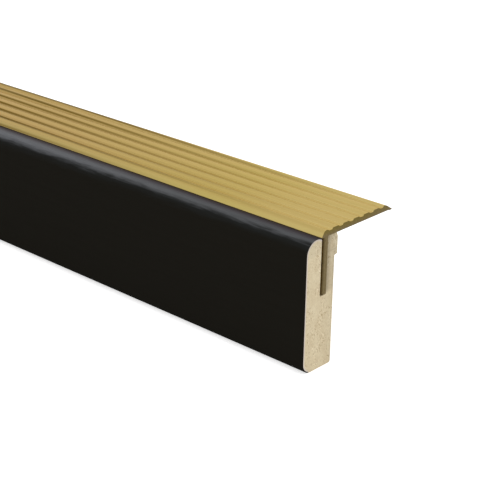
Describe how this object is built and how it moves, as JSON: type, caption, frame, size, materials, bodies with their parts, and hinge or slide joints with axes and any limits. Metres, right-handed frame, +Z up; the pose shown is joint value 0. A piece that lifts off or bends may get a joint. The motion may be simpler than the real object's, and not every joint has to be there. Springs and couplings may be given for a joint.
{
  "type": "stair nosing",
  "caption": "Straight length of stair nosing: a foil-wrapped fibreboard fascia with a round front lip, and a ribbed aluminium angle plugged into a slot along its top.",
  "frame": {"origin": "middle of the length and of the whole depth, at the level of the board's underside", "axes": "+X along the length, +Y back over the step, away from the black front face, +Z up"},
  "size_m": [1, 0.057, 0.0629],
  "materials": {
    "fibreboard": "raw fibreboard, cut and milled, uncoated",
    "black_foil": "matt black decor foil",
    "gold_aluminium": "satin gold anodised extrusion, bare at the cut ends"
  },
  "bodies": {
    "root": {"board_core": "fibreboard", "decor_wrap": "black_foil", "aluminium_angle": "gold_aluminium"}
  },
  "joints": []
}
